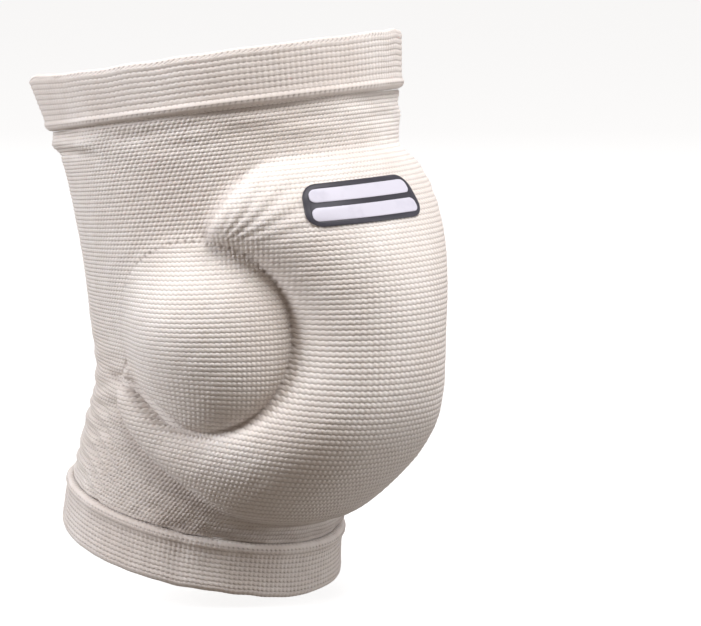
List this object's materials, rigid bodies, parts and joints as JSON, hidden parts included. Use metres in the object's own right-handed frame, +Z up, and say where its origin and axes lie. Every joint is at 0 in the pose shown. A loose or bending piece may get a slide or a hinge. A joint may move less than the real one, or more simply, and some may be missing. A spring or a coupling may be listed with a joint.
{
  "type": "volleyball knee pad",
  "caption": "Pull-on knitted knee pad for volleyball, in its worn bent form, with a thick front pad, round domed side pads and doubled elastic cuffs.",
  "frame": {"origin": "middle of the leg hollow where the knee bends", "axes": "+Z up the leg towards the thigh, -Y out of the kneecap, +X towards the wearer's left"},
  "size_m": [0.147, 0.1859, 0.2304],
  "materials": {
    "knit": "cream white thick elastic knit with ribbed courses, matt",
    "cuff": "cream white doubled knit hem, matt",
    "padding": "soft foam faced with smooth jersey cloth, matt",
    "badge_dark": "black soft rubber, satin",
    "badge_pale": "pale lilac grey soft rubber, satin"
  },
  "bodies": {
    "root": {"sleeve": "knit", "top_cuff": "cuff", "bottom_cuff": "cuff", "front_pad": "padding", "side_pad_left": "padding", "side_pad_right": "padding", "badge_base": "badge_dark", "badge_panel_upper": "badge_pale", "badge_panel_lower": "badge_pale"}
  },
  "joints": []
}
